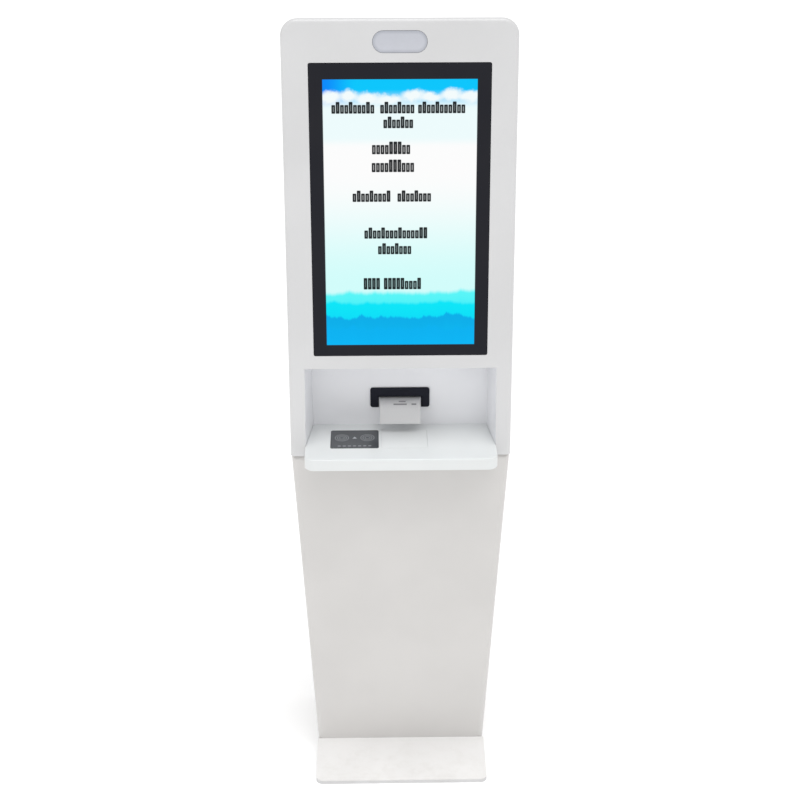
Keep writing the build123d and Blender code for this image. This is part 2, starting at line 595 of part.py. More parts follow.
# ---------------------------------------------------------------- printer
def printer_chassis():
    """Two side plates on a floor plate, with the idler's pin."""
    inner = CHASSIS_HALF - CHASSIS_T
    front, rear = CHASSIS_Y
    outline = [(front, CHASSIS_LOW), (rear, CHASSIS_LOW), (rear, ROLL_Z + 20),
               (HINGE_Y + 26, CHASSIS_TOP), (front, CHASSIS_TOP)]
    chassis = block((-CHASSIS_HALF, CHASSIS_HALF), CHASSIS_Y, (CHASSIS_LOW, CHASSIS_LOW + CHASSIS_T))
    for x in both_sides((inner, CHASSIS_HALF)):
        chassis += prism_x(outline, x)
    across = (-BEYOND, BEYOND)
    chassis -= rod("x", PLATEN_AT, across, SHAFT_R + RUN_GAP)
    chassis -= rod("x", (HINGE_Y, HINGE_Z), across, HINGE_R + RUN_GAP)
    chassis -= rod("x", (ROLL_Y, ROLL_Z), across, SPINDLE_R)
    chassis -= rod("x", PINION_AT, (inner - 1, CHASSIS_HALF + 1), MOTOR_SHAFT_R + 1)
    return chassis + rod("x", IDLER_AT, (CHASSIS_HALF - 1, GEAR_X[1] + 1), IDLER_PIN_R)


def platen():
    """The rubber roller on its shaft."""
    roller = rod("x", PLATEN_AT, (-PAPER_HALF - 2, PAPER_HALF + 2), PLATEN_R)
    shaft = rod("x", PLATEN_AT, (-CHASSIS_HALF - 1.5, GEAR_X[1]), SHAFT_R)
    return roller + shaft


def platen_gear():
    """The gear on the platen's shaft."""
    return gear(PLATEN_TEETH, PLATEN_AT, IDLER_DIRECTION, GEAR_X) - rod("x", PLATEN_AT, (0, BEYOND), SHAFT_R)


def idler():
    """The gear between the platen's and the motor's."""
    wheel = gear(IDLER_TEETH, IDLER_AT, IDLER_PHASE, GEAR_X)
    return wheel - rod("x", IDLER_AT, (0, BEYOND), IDLER_PIN_R + RUN_GAP)


def pinion():
    """The motor's pinion on its shaft."""
    shaft = rod("x", PINION_AT, (MOTOR_X[0] + 10, GEAR_X[0] + 1), MOTOR_SHAFT_R)
    return gear(PINION_TEETH, PINION_AT, PINION_PHASE, GEAR_X) + shaft


def motor():
    """The stepper motor, fixed to the right side plate."""
    can = rod("x", PINION_AT, MOTOR_X, MOTOR_R)
    return can - rod("x", PINION_AT, (MOTOR_X[0] + 9, MOTOR_X[1] + 1), MOTOR_SHAFT_R + RUN_GAP)


def print_head():
    """The thermal head on its two arms and hinge shaft."""
    low = WEB_HIGH + HEAD_GAP
    inner, outer = CHASSIS_HALF - CHASSIS_T - 5, CHASSIS_HALF - CHASSIS_T - 2
    head = block((-inner, inner), HEAD_BAR_Y, (low, low + HEAD_BAR_H))
    outline = [(HEAD_BAR_Y[0], low), (HEAD_BAR_Y[1], low), (HINGE_Y + 4, HINGE_Z - 4),
               (HINGE_Y + 4, HINGE_Z + 4), (HINGE_Y - 6, HINGE_Z + 4), (HEAD_BAR_Y[0], low + HEAD_BAR_H)]
    for x in both_sides((inner, outer)):
        head += prism_x(outline, x)
    return head + rod("x", (HINGE_Y, HINGE_Z), (-CHASSIS_HALF - 1, CHASSIS_HALF + 1), HINGE_R)


def cutter_body():
    """The cutter's bed and the posts that guide its blade."""
    bed_top = WEB_LOW - FIT
    y = (BAY_BACK_Y + LINER_T, CUTTER_REAR_Y)
    body = block((-CUTTER_HALF, CUTTER_HALF), y, (CUTTER_Z[0], bed_top))
    inner = BLADE_HALF + CUT_GAP
    for x in both_sides((inner, CUTTER_HALF)):
        body += block(x, y, (bed_top, CUTTER_Z[1]))
    body += block((-CUTTER_HALF, CUTTER_HALF), y, (BLADE_Z[1] + 2, CUTTER_Z[1]))
    groove = (BLADE_Y - BLADE_T / 2 - CUT_GAP, BLADE_Y + BLADE_T / 2 + CUT_GAP)
    return body - block((-inner, inner), groove, (bed_top - 10, bed_top + 1))


def cutter_blade():
    """The guillotine blade, raised above the paper."""
    edge, top = BLADE_Z
    y = (BLADE_Y - BLADE_T / 2, BLADE_Y + BLADE_T / 2)
    return block((-BLADE_HALF, BLADE_HALF), y, (edge, top))


def ticket():
    """A printed ticket, level through the slot and drooping over the shelf."""
    level = Line((0, CUT_FACE_Y, WEB_Z), (0, TICKET_STRAIGHT_Y, WEB_Z))
    angle = radians(TICKET_BEND)

    def on_bend(a):
        return (0, TICKET_STRAIGHT_Y - TICKET_BEND_R * sin(a), WEB_Z - TICKET_BEND_R * (1 - cos(a)))

    bend = ThreePointArc(on_bend(0), on_bend(angle / 2), on_bend(angle))
    last = on_bend(angle)
    tail = Line(last, (0, last[1] - TICKET_TAIL * cos(angle), last[2] - TICKET_TAIL * sin(angle)))
    path = Wire([level.edge(), bend.edge(), tail.edge()])
    start = Plane(origin=(0, CUT_FACE_Y, WEB_Z), x_dir=(1, 0, 0), z_dir=(0, -1, 0))
    return sweep(start * Rectangle(PAPER_W, PAPER_T), path=path)


def paper_web():
    """The paper between the roll and the cutter."""
    start = BLADE_Y + BLADE_T / 2 + CUT_GAP
    return block((-PAPER_HALF, PAPER_HALF), (start, ROLL_Y), (WEB_LOW, WEB_HIGH))


def paper_roll():
    """The wound paper, without its core."""
    across = (-PAPER_HALF, PAPER_HALF)
    return rod("x", (ROLL_Y, ROLL_Z), across, ROLL_R) - rod("x", (ROLL_Y, ROLL_Z), across, CORE_R)


def roll_core():
    """The plastic core that turns on the spindle."""
    across = (-PAPER_HALF - CORE_LIP, PAPER_HALF + CORE_LIP)
    bore = rod("x", (ROLL_Y, ROLL_Z), across, SPINDLE_R + RUN_GAP)
    return rod("x", (ROLL_Y, ROLL_Z), across, CORE_R) - bore


# ---------------------------------------------------------------- column
def column_solid(inset, low=BASE_T, high=HEAD_LOW, rear=REAR_Y):
    """The tapered column as a solid, drawn in by an inset."""
    sections = []
    for z in (low, high):
        front, half = column_y(z) + inset, column_half(z) - inset
        outline = [(-half, front, z), (half, front, z), (half, rear, z), (-half, rear, z)]
        sections.append(make_face(Polyline(*outline, close=True)))
    return loft(sections, ruled=True)


def bent(solid, radius):
    """The column with its two front corners bent to a radius."""
    corners = [e for e in solid.edges() if e.length > 300 and e.center().Y < 0]
    return fillet(corners, radius)


def column_zone(depth):
    """The layer behind the column's front plane."""
    low, high = BASE_T, HEAD_LOW
    outline = [(column_y(low) - 5, low), (column_y(low) + depth, low),
               (column_y(high) + depth, high), (column_y(high) - 5, high)]
    return prism_x(outline, (-BEYOND, BEYOND))


def column_shell():
    """The bent sheet of the column, before it is split."""
    inner = column_solid(SHEET, rear=REAR_Y + 10)
    return bent(column_solid(0), COLUMN_BEND_R) - bent(inner, COLUMN_BEND_R - SHEET)


def column_front():
    """The front sheet, its top flange and the tongue that closes the gap under the shelf."""
    zone = column_zone(COLUMN_WRAP)
    flange = column_solid(SHEET / 2, low=HEAD_LOW - SHEET) & zone
    high = shelf_z(column_y(HEAD_LOW)) - SHELF_T - TONGUE_GAP
    tongue = [(column_y(HEAD_LOW), HEAD_LOW), (column_y(HEAD_LOW) + SHEET, HEAD_LOW),
              (column_y(high) + SHEET, high), (column_y(high), high)]
    return (column_shell() & zone) + flange + prism_x(tongue, (-BAY_BACK_HALF, BAY_BACK_HALF))


def screw_places():
    """The (x, z) places of the rear panel's screws."""
    return [(side * (column_half(z) - SHEET - REAR_FLANGE / 2), z) for z in SCREW_LEVELS for side in (-1, 1)]


def column_side(side):
    """One side sheet with its rear flange."""
    half = block((0, BEYOND) if side > 0 else (-BEYOND, 0), (-BEYOND, REAR_Y), (0, HEAD_LOW))
    sheet = (column_shell() & half) - column_zone(COLUMN_WRAP + SEAM)
    flange = column_solid(SHEET / 2) - column_solid(SHEET + REAR_FLANGE)
    flange = flange & half & block((-BEYOND, BEYOND), (REAR_Y - 2 * SHEET, REAR_Y - SHEET), (0, HEAD_LOW))
    whole = sheet + flange
    for x, z in screw_places():
        whole -= rod("y", (x, z), (REAR_Y - 20, REAR_Y), SCREW_R + RUN_GAP)
    return whole


def base_plate():
    """The floor plate with four anchor holes and the cable hole."""
    plate = block((-BASE_HALF, BASE_HALF), (-BASE_HALF, BASE_HALF), (0, BASE_T))
    plate = fillet(plate.edges().filter_by(Axis.Z), BASE_CORNER_R)
    for x in (-ANCHOR_X, ANCHOR_X):
        for y in (-ANCHOR_Y, ANCHOR_Y):
            plate -= rod("z", (x, y), (-1, BASE_T + 1), ANCHOR_R)
    return plate - rod("z", (0, CABLE_HOLE_Y), (-1, BASE_T + 1), CABLE_HOLE_R)


def foot_cover():
    """The sloping cover over the front of the base plate."""
    rear = column_y(FOOT_REAR_Z)
    front = -BASE_HALF + FOOT_FRONT_GAP

    def wedge(inset, drop):
        sketch = Pos(0, (front + inset + rear) / 2) * Rectangle(2 * (BASE_HALF - inset), rear - front - inset)
        plan = fillet(sketch.vertices().group_by(Axis.Y)[0], BASE_CORNER_R - inset)
        solid = extrude(Plane.XY.offset(BASE_T).location * plan, amount=FOOT_REAR_Z)
        slope = [(front, BASE_T - 20), (rear + 1, BASE_T - 20), (rear + 1, FOOT_REAR_Z - drop),
                 (front, FOOT_FRONT_Z - drop)]
        return solid & prism_x(slope, (-BEYOND, BEYOND))

    cover = wedge(0, 0) - wedge(SHEET, SHEET)
    return cover - bent(column_solid(-0.01), COLUMN_BEND_R)


def deck():
    """The level sheet between column and head that carries the printer."""
    half = column_half(DECK_Z) - SHEET - FIT
    front, rear = column_y(DECK_Z) + SHEET + FIT, REAR_Y - 2 * SHEET - FIT
    sheet = block((-half, half), (front, rear), (DECK_Z, DECK_Z + DECK_T))
    return fillet(sheet.edges().filter_by(Axis.Z).group_by(Axis.Y)[0], COLUMN_BEND_R)


def posts():
    """Four square tube posts from the base plate to the deck."""
    half, hollow = POST_SIZE / 2, POST_SIZE / 2 - POST_WALL
    group = []
    for x in (-POST_X, POST_X):
        for y in (POST_FRONT_Y, POST_REAR_Y):
            tube = block((x - half, x + half), (y - half, y + half), (BASE_T, DECK_Z))
            group.append(tube - block((x - hollow, x + hollow), (y - hollow, y + hollow), (BASE_T, DECK_Z)))
    return group


def rear_panel():
    """The screwed panel at the back of the column, with its fittings' holes and vents."""
    panel = column_solid(SHEET + FIT, low=BASE_T, high=HEAD_LOW)
    panel = panel & block((-BEYOND, BEYOND), (REAR_Y - SHEET, REAR_Y), (BASE_T + FIT, HEAD_LOW - FIT))
    through = (REAR_Y - 5, REAR_Y + 5)
    panel -= rod("y", (0, FAN_Z), through, FAN_BORE_R)
    fittings = ((INLET_X, INLET_W, INLET_H), (SWITCH_X, SWITCH_W, SWITCH_H),
                (NETWORK_X, NETWORK_W, NETWORK_H))
    for x, w, h in fittings:
        panel -= block((x - w / 2, x + w / 2), through, (SERVICE_Z - h / 2, SERVICE_Z + h / 2))
    for row in range(VENT_ROWS):
        z = VENT_Z + row * VENT_PITCH
        for x in (-VENT_X, VENT_X):
            panel -= block((x - VENT_W / 2, x + VENT_W / 2), through, (z, z + VENT_H))
    for x, z in screw_places():
        panel -= rod("y", (x, z), through, SCREW_R + RUN_GAP)
    return panel


def screws():
    """The rear panel's screws."""
    group = []
    for x, z in screw_places():
        shank = rod("y", (x, z), (REAR_Y - 2 * SHEET - 4, REAR_Y), SCREW_R)
        head = rod("y", (x, z), (REAR_Y, REAR_Y + SCREW_HEAD_H), SCREW_HEAD_R)
        slot = block((x - SCREW_HEAD_R, x + SCREW_HEAD_R), (REAR_Y + 1, REAR_Y + 5), (z - 0.6, z + 0.6))
        group.append(shank + head - slot)
    return group


# ---------------------------------------------------------------- service fittings
def socket_shell(x, w, h, flange, depth, wall):
    """A fitting's body in the rear panel: a flange outside and an open box inside."""
    outside = block((x - w / 2 - flange, x + w / 2 + flange), (REAR_Y, REAR_Y + FLANGE_T),
                    (SERVICE_Z - h / 2 - flange, SERVICE_Z + h / 2 + flange))
    grow = w / 2 - FIT
    body = block((x - grow, x + grow), (REAR_Y - depth, REAR_Y + FLANGE_T),
                 (SERVICE_Z - h / 2 + FIT, SERVICE_Z + h / 2 - FIT))
    cavity = block((x - grow + wall, x + grow - wall), (REAR_Y - depth + wall, REAR_Y + FLANGE_T + 1),
                   (SERVICE_Z - h / 2 + FIT + wall, SERVICE_Z + h / 2 - FIT - wall))
    return outside + body - cavity


def power_inlet():
    """The mains inlet with its three blades."""
    inlet = socket_shell(INLET_X, INLET_W, INLET_H, 4, 24, 3)
    for dx, dz in INLET_PINS:
        x, z = INLET_X + dx, SERVICE_Z + dz
        inlet += block((x - 1, x + 1), (REAR_Y - 23, REAR_Y - 5), (z - 2, z + 2))
    return inlet


def switch_body():
    """The rocker's housing, with bores for its pivots."""
    body = socket_shell(SWITCH_X, SWITCH_W, SWITCH_H, 3, 16, SWITCH_WALL)
    reach = ROCKER_HALF_W + ROCKER_PIN_L + FIT
    return body - rod("x", ROCKER_AT, (SWITCH_X - reach, SWITCH_X + reach), ROCKER_PIN_R + RUN_GAP)


ROCKER_HALF_W = SWITCH_W / 2 - FIT - SWITCH_WALL - FIT


def rocker():
    """The rocker, tilted to its off side."""
    half_h = SWITCH_H / 2 - FIT - SWITCH_WALL - 1.6
    front = ROCKER_AT[0] + 6
    outline = [(front - 1.6, SERVICE_Z), (front, SERVICE_Z + half_h), (ROCKER_AT[0], SERVICE_Z + half_h),
               (ROCKER_AT[0] - 4, SERVICE_Z), (ROCKER_AT[0], SERVICE_Z - half_h), (front, SERVICE_Z - half_h)]
    body = prism_x(outline, (SWITCH_X - ROCKER_HALF_W, SWITCH_X + ROCKER_HALF_W))
    reach = ROCKER_HALF_W + ROCKER_PIN_L
    body += rod("x", ROCKER_AT, (SWITCH_X - reach, SWITCH_X + reach), ROCKER_PIN_R)
    return body.rotate(Axis((0, ROCKER_AT[0], ROCKER_AT[1]), (1, 0, 0)), ROCKER_TILT)


def fan_frame():
    """The fan's square frame, with three struts to its motor boss and pin."""
    half = FAN_SIZE / 2
    inside = REAR_Y - SHEET
    frame = block((-half, half), (inside - FAN_D, inside), (FAN_Z - half, FAN_Z + half))
    frame = fillet(frame.edges().filter_by(Axis.Y), FAN_CORNER_R)
    frame -= rod("y", (0, FAN_Z), (inside - FAN_D - 1, inside + 1), FAN_BORE_R)
    strut_y = (inside - FAN_D, inside - FAN_D + STRUT_T)
    for turn in range(3):
        strut = block((-STRUT_W / 2, STRUT_W / 2), strut_y, (FAN_Z, FAN_Z + FAN_BORE_R + 1))
        frame += strut.rotate(Axis((0, 0, FAN_Z), (0, 1, 0)), 120 * turn)
    frame += rod("y", (0, FAN_Z), strut_y, FAN_HUB_R)
    return frame + rod("y", (0, FAN_Z), (strut_y[0], inside - 6), FAN_PIN_R)


def fan_impeller():
    """The hub and its pitched blades."""
    inside = REAR_Y - SHEET
    y = (inside - FAN_D + STRUT_T + 0.5, inside - 4)
    wheel = rod("y", (0, FAN_Z), y, FAN_HUB_R)
    root = FAN_HUB_R - 2
    blade = Box(FAN_BLADE_R - root, FAN_BLADE_T, FAN_BLADE_CHORD)
    blade = Pos((FAN_BLADE_R + root) / 2, 0, 0) * Rot(90 + FAN_PITCH, 0, 0) * blade
    for i in range(FAN_BLADES):
        wheel += Pos(0, (y[0] + y[1]) / 2, FAN_Z) * Rot(0, 360 * i / FAN_BLADES, 0) * blade
    return wheel - rod("y", (0, FAN_Z), (y[0] - 1, y[1] - 1.5), FAN_PIN_R + RUN_GAP)


def fan_guard():
    """The wire guard over the fan, as rings joined by four spokes."""
    y = (REAR_Y, REAR_Y + GUARD_T)
    guard = None
    for r in GUARD_RINGS:
        ring = rod("y", (0, FAN_Z), y, r) - rod("y", (0, FAN_Z), (y[0] - 1, y[1] + 1), r - GUARD_WIRE)
        guard = ring if guard is None else guard + ring
    reach = (FAN_Z + GUARD_RINGS[0] - GUARD_WIRE - 1, FAN_Z + GUARD_RINGS[-1] - 1)
    for turn in range(4):
        spoke = block((-GUARD_SPOKE_W / 2, GUARD_SPOKE_W / 2), y, reach)
        guard += spoke.rotate(Axis((0, 0, FAN_Z), (0, 1, 0)), 45 + 90 * turn)
    return guard


def power_supply():
    """The supply on the base plate, with a grille of slots in its top."""
    top = BASE_T + SUPPLY_H
    box = block(SUPPLY_X, SUPPLY_Y, (BASE_T, top))
    box -= block((SUPPLY_X[0] + SHEET, SUPPLY_X[1] - SHEET), (SUPPLY_Y[0] + SHEET, SUPPLY_Y[1] - SHEET),
                 (BASE_T + SHEET, top - SHEET))
    first = (sum(SUPPLY_Y) - (SUPPLY_SLOTS - 1) * SUPPLY_SLOT_PITCH - SUPPLY_SLOT_W) / 2
    for i in range(SUPPLY_SLOTS):
        y = first + i * SUPPLY_SLOT_PITCH
        box -= block((SUPPLY_X[0] + 20, SUPPLY_X[1] - 20), (y, y + SUPPLY_SLOT_W), (top - 2 * SHEET, top + 1))
    return box


# ---------------------------------------------------------------- service door
def rear_slice(inset, y, low):
    """The head's outline, drawn in by an inset, as a sheet between two depths."""
    return swept_back(head_outline(inset)) & block((-BEYOND, BEYOND), y, (low, TOTAL_H))


def rear_ring():
    """The frame that the door shuts against."""
    y = (RING_Y, RING_Y + RING_T)
    wide = (y[0] - 1, y[1] + 1)
    return rear_slice(RING_INSET, y, RING_SILL_Z[0]) - rear_slice(RING_INSET + RING_W, wide, RING_SILL_Z[1])


def door_seal():
    """The foam seal on the ring."""
    y = (RING_Y + RING_T, RING_Y + RING_T + DOOR_SEAL_T)
    wide = (y[0] - 1, y[1] + 1)
    outside, inside = RING_INSET + DOOR_SEAL_INSET, RING_INSET + DOOR_SEAL_INSET + DOOR_SEAL_W
    return rear_slice(outside, y, DOOR_LOW + 3) - rear_slice(inside, wide, DOOR_LOW + 3 + DOOR_SEAL_W)


def door():
    """The flat service door: vents near its top, the lock's hole and a welded stiffener inside."""
    y = (DOOR_Y, DOOR_Y + DOOR_T)
    panel = rear_slice(DOOR_INSET, y, DOOR_LOW)
    through = (y[0] - 5, y[1] + 5)
    for row in range(DOOR_VENT_ROWS):
        z = DOOR_VENT_Z + row * DOOR_VENT_PITCH
        for x in (-DOOR_VENT_X, DOOR_VENT_X):
            panel -= block((x - DOOR_VENT_W / 2, x + DOOR_VENT_W / 2), through, (z, z + DOOR_VENT_H))
    z = (DOOR_LOW + STIFFENER_END, DOOR_VENT_Z - STIFFENER_END)
    half, hollow = STIFFENER_W / 2, STIFFENER_W / 2 - SHEET
    panel += block((-half, half), (DOOR_Y - STIFFENER_D, DOOR_Y), z)
    panel -= block((-hollow, hollow), (DOOR_Y - STIFFENER_D + SHEET, DOOR_Y), z)
    return panel - rod("y", (LOCK_X, LOCK_Z), through, LOCK_R)


def hinge_part(low_share, high_share, z):
    """One stretch of a hinge's knuckle."""
    base = z - HINGE_LEN / 2
    span = (base + low_share * HINGE_LEN, base + high_share * HINGE_LEN)
    return rod("z", (DOOR_HINGE_X, DOOR_HINGE_Y), span, KNUCKLE_R)


def fixed_hinges():
    """The frame leaves, each with its two outer knuckles and pin."""
    group = []
    outer = DOOR_HINGE_X - KNUCKLE_R
    for z in HINGE_Z_PLACES:
        base = (z - HINGE_LEN / 2, z + HINGE_LEN / 2)
        leaf = block((outer, outer + SHEET), (REAR_Y - 25, DOOR_HINGE_Y), base)
        middle_third = (z - HINGE_LEN / 6, z + HINGE_LEN / 6)
        leaf -= rod("z", (DOOR_HINGE_X, DOOR_HINGE_Y), middle_third, KNUCKLE_R + 0.6)
        leaf += hinge_part(0, 1 / 3, z) + hinge_part(2 / 3, 1, z)
        leaf += rod("z", (DOOR_HINGE_X, DOOR_HINGE_Y), base, HINGE_PIN_R)
        group.append(leaf)
    return group


def door_hinges():
    """The door leaves, each with its middle knuckle."""
    group = []
    edge = DOOR_Y + DOOR_T
    for z in HINGE_Z_PLACES:
        knuckle_z = (z - HINGE_LEN / 6 + FIT, z + HINGE_LEN / 6 - FIT)
        knuckle = rod("z", (DOOR_HINGE_X, DOOR_HINGE_Y), knuckle_z, KNUCKLE_R)
        leaf = block((DOOR_HINGE_X + 5, DOOR_HINGE_X + 28), (edge, edge + SHEET),
                     (z - HINGE_LEN / 2, z + HINGE_LEN / 2))
        leaf += block((DOOR_HINGE_X, DOOR_HINGE_X + 6), (edge + 0.2, edge + 3), knuckle_z) + knuckle
        leaf -= rod("z", (DOOR_HINGE_X, DOOR_HINGE_Y), (z - 50, z + 50), HINGE_PIN_R + RUN_GAP)
        group.append(leaf)
    return group


def lock_body():
    """The lock's barrel through the door."""
    edge = DOOR_Y + DOOR_T
    body = rod("y", (LOCK_X, LOCK_Z), (DOOR_Y - LOCK_DEPTH, edge + FLANGE_T), LOCK_R)
    body += rod("y", (LOCK_X, LOCK_Z), (edge, edge + FLANGE_T), LOCK_R + LOCK_FLANGE)
    return body - rod("y", (LOCK_X, LOCK_Z), (DOOR_Y - 20, edge + 10), PLUG_R + RUN_GAP)


def lock_cam():
    """The plug with its key slot, and the cam, pointing down when unlocked."""
    edge = DOOR_Y + DOOR_T
    rear = DOOR_Y - LOCK_DEPTH - FIT
    plug = rod("y", (LOCK_X, LOCK_Z), (rear - CAM_T, edge + 1.8), PLUG_R)
    plug -= block((LOCK_X - 0.8, LOCK_X + 0.8), (edge - 4, edge + 5), (LOCK_Z - 4, LOCK_Z + 4))
    cam = block((LOCK_X - CAM_W / 2, LOCK_X + CAM_W / 2), (rear - CAM_T, rear), (LOCK_Z - CAM_LEN, LOCK_Z))
    return plug + cam


# ---------------------------------------------------------------- all the pieces
PARTS = {
    "front_frame": front_frame,
    "head_side_left": lambda: head_side((-HEAD_W / 2, -HEAD_W / 2 + SHEET)),
    "head_side_right": lambda: head_side((HEAD_W / 2 - SHEET, HEAD_W / 2)),
    "roof": roof,
    "display_glass": display_glass,
    "glass_gasket": lambda: ring_on_face(RETAINER_W, RETAINER_H, GLASS_W + 2 * FIT, GLASS_H + 2 * FIT,
                                         (SHEET, GLASS_BACK)),
    "glass_retainer": lambda: ring_on_face(RETAINER_W, RETAINER_H, GLASS_W - 2 * RETAINER_LAP,
                                           GLASS_H - 2 * RETAINER_LAP, (GLASS_BACK, RETAINER_BACK)),
    "lcd_panel": lambda: slab((-PANEL_W / 2, PANEL_W / 2), (-PANEL_H / 2, PANEL_H / 2),
                              (GLASS_BACK, GLASS_BACK + PANEL_T)),
    "display_housing": display_housing,
    "display_driver_board": driver_board,
    "display_rails": display_rails,
    "camera_window": lambda: on_face(Pos(0, CAMERA_RISE) * SlotOverall(CAMERA_W, CAMERA_H),
                                     (GLASS_INSET, GLASS_INSET + CAMERA_T)),
    "camera_box": camera_box,
    "camera_lens": camera_lens,
    "computer_case": computer_case,
    "computer_heatsink": heatsink,
    "bay_liner": bay_liner,
    "ticket_shelf": shelf,
    "reader_window": lambda: shelf_insert(READER_X),
    "blanking_plate": lambda: shelf_insert(BLANK_X),
    "reader_box": reader_box,
    "printer_bezel": printer_bezel,
    "printer_chassis": printer_chassis,
    "platen_roller": platen,
    "platen_gear": platen_gear,
    "idler_gear": idler,
    "motor_pinion": pinion,
    "drive_motor": motor,
    "print_head": print_head,
    "cutter_body": cutter_body,
    "cutter_blade": cutter_blade,
    "ticket": ticket,
    "paper_web": paper_web,
    "paper_roll": paper_roll,
    "roll_core": roll_core,
    "paper_spindle": lambda: rod("x", (ROLL_Y, ROLL_Z), (-CHASSIS_HALF - SPINDLE_END,
                                                               CHASSIS_HALF + SPINDLE_END), SPINDLE_R),
    "column_front": column_front,
    "column_side_left": lambda: column_side(-1),
    "column_side_right": lambda: column_side(1),
    "base_plate": base_plate,
    "foot_cover": foot_cover,
    "printer_deck": deck,
    "column_posts": posts,
    "rear_panel": rear_panel,
    "rear_panel_screws": screws,
    "power_inlet": power_inlet,
    "switch_body": switch_body,
    "power_switch": rocker,
    "network_socket": lambda: socket_shell(NETWORK_X, NETWORK_W, NETWORK_H, 2, 18, 1.8),
    "fan_frame": fan_frame,
    "fan_impeller": fan_impeller,
    "fan_guard": fan_guard,
    "power_supply": power_supply,
    "rear_ring": rear_ring,
    "door_seal": door_seal,
    "rear_door": door,
    "frame_hinge_leaves": fixed_hinges,
    "door_hinge_leaves": door_hinges,
    "door_lock": lock_body,
    "lock_cam": lock_cam,
}


def write(name, shape):
    """Write one piece, or a group of separate ones, to its own file."""
    if isinstance(shape, list):
        shape = Compound(children=[Compound(s.solids()) if len(s.solids()) > 1 else s.solid() for s in shape])
    export_step(shape, f"parts/{name}.step")


os.makedirs("parts", exist_ok=True)
for part_name, make in PARTS.items():
    write(part_name, make())
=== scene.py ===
"""The looks of a free-standing queue-ticket kiosk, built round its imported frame. Metres, +Z up."""
import json
from math import cos, pi, radians, sin

import bmesh
import bpy
from mathutils import Matrix, Vector


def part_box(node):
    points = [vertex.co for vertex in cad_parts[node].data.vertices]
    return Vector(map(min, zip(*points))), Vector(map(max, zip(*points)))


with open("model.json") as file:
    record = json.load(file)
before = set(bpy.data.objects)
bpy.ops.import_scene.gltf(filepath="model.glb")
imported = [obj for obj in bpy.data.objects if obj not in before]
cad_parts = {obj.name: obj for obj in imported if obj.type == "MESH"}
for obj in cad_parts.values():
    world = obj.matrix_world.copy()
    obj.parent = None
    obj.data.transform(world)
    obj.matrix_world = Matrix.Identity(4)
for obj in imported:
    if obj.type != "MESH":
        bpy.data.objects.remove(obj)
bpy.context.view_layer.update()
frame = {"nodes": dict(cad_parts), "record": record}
NODES = frame["nodes"]

MM = 0.001
LEAN = radians(3.0)                     # the head leans back by this much
UP_FACE = Vector((0, sin(LEAN), cos(LEAN)))


def middle(node):
    """The middle of a frame node's box."""
    low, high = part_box(node)
    return (low + high) / 2


# ---------------------------------------------------------------- shader helpers
class Num:
    """A number that varies over a surface. Python maths on it adds Math nodes."""

    def __init__(self, paint, socket):
        self.paint, self.socket = paint, socket

    def math(self, operation, *others):
        node = self.paint.node("ShaderNodeMath", {"operation": operation}, [self, *others])
        return Num(self.paint, node.outputs[0])

    def __add__(self, other):
        return self.math("ADD", other)

    __radd__ = __add__

    def __sub__(self, other):
        return self.math("SUBTRACT", other)

    def __rsub__(self, other):
        return (self * -1) + other

    def __mul__(self, other):
        return self.math("MULTIPLY", other)

    __rmul__ = __mul__

    def __truediv__(self, other):
        return self.math("DIVIDE", other)

    def abs(self):
        return self.math("ABSOLUTE")

    def root(self):
        return self.math("SQRT")

    def most(self, other):
        return self.math("MAXIMUM", other)

    def ramp(self, low, high, start=0.0, end=1.0):
        """Goes smoothly from start to end as this number goes from low to high."""
        node = self.paint.node("ShaderNodeMapRange", {"interpolation_type": "SMOOTHSTEP"},
                               [self, low, high, start, end])
        return Num(self.paint, node.outputs[0])


class Paint:
    """One material while it is being made: a Principled shader and the nodes that feed it."""

    def __init__(self, name, **settings):
        self.material = bpy.data.materials.new(name)
        self.material.use_nodes = True
        self.tree = self.material.node_tree
        self.shader = self.tree.nodes["Principled BSDF"]
        self.place = self.node("ShaderNodeTexCoord").outputs["Object"]
        for socket, value in settings.items():
            self.set(socket.replace("_", " "), value)

    def node(self, kind, settings=None, values=()):
        made = self.tree.nodes.new(kind)
        for name, value in (settings or {}).items():
            setattr(made, name, value)
        pairs = values.items() if isinstance(values, dict) else enumerate(values)
        for key, value in pairs:
            self.feed(made.inputs[key], value)
        return made

    def feed(self, socket, value):
        if isinstance(value, Num):
            value = value.socket
        if isinstance(value, bpy.types.NodeSocket):
            self.tree.links.new(value, socket)
        else:
            socket.default_value = value

    def set(self, socket, value):
        if isinstance(value, tuple) and len(value) == 3:
            value = (*value, 1.0)
        self.feed(self.shader.inputs[socket], value)

    def axes(self):
        """The surface point's three coordinates."""
        split = self.node("ShaderNodeSeparateXYZ", None, [self.place])
        return [Num(self, s) for s in split.outputs]

    def noise(self, scale, detail=2.0, roughness=0.5, stretch=(1, 1, 1)):
        """Soft noise between about 0 and 1, with its grain stretched along the axes."""
        place = self.node("ShaderNodeMapping", None, {"Vector": self.place, "Scale": stretch})
        made = self.node("ShaderNodeTexNoise", None, {"Vector": place.outputs[0], "Scale": scale,
                                                      "Detail": detail, "Roughness": roughness})
        return Num(self, made.outputs[0])

    def mix(self, share, first, second):
        """A colour between two others."""
        made = self.node("ShaderNodeMix", {"data_type": "RGBA"})
        self.feed(made.inputs[0], share)
        for socket, colour in ((made.inputs[6], first), (made.inputs[7], second)):
            self.feed(socket, (*colour, 1.0) if isinstance(colour, tuple) and len(colour) == 3 else colour)
        return made.outputs[2]

    def bump(self, height, distance, strength=1.0):
        """Small relief, in metres."""
        made = self.node("ShaderNodeBump", None, {"Strength": strength, "Distance": distance,
                                                  "Height": height})
        self.set("Normal", made.outputs["Normal"])


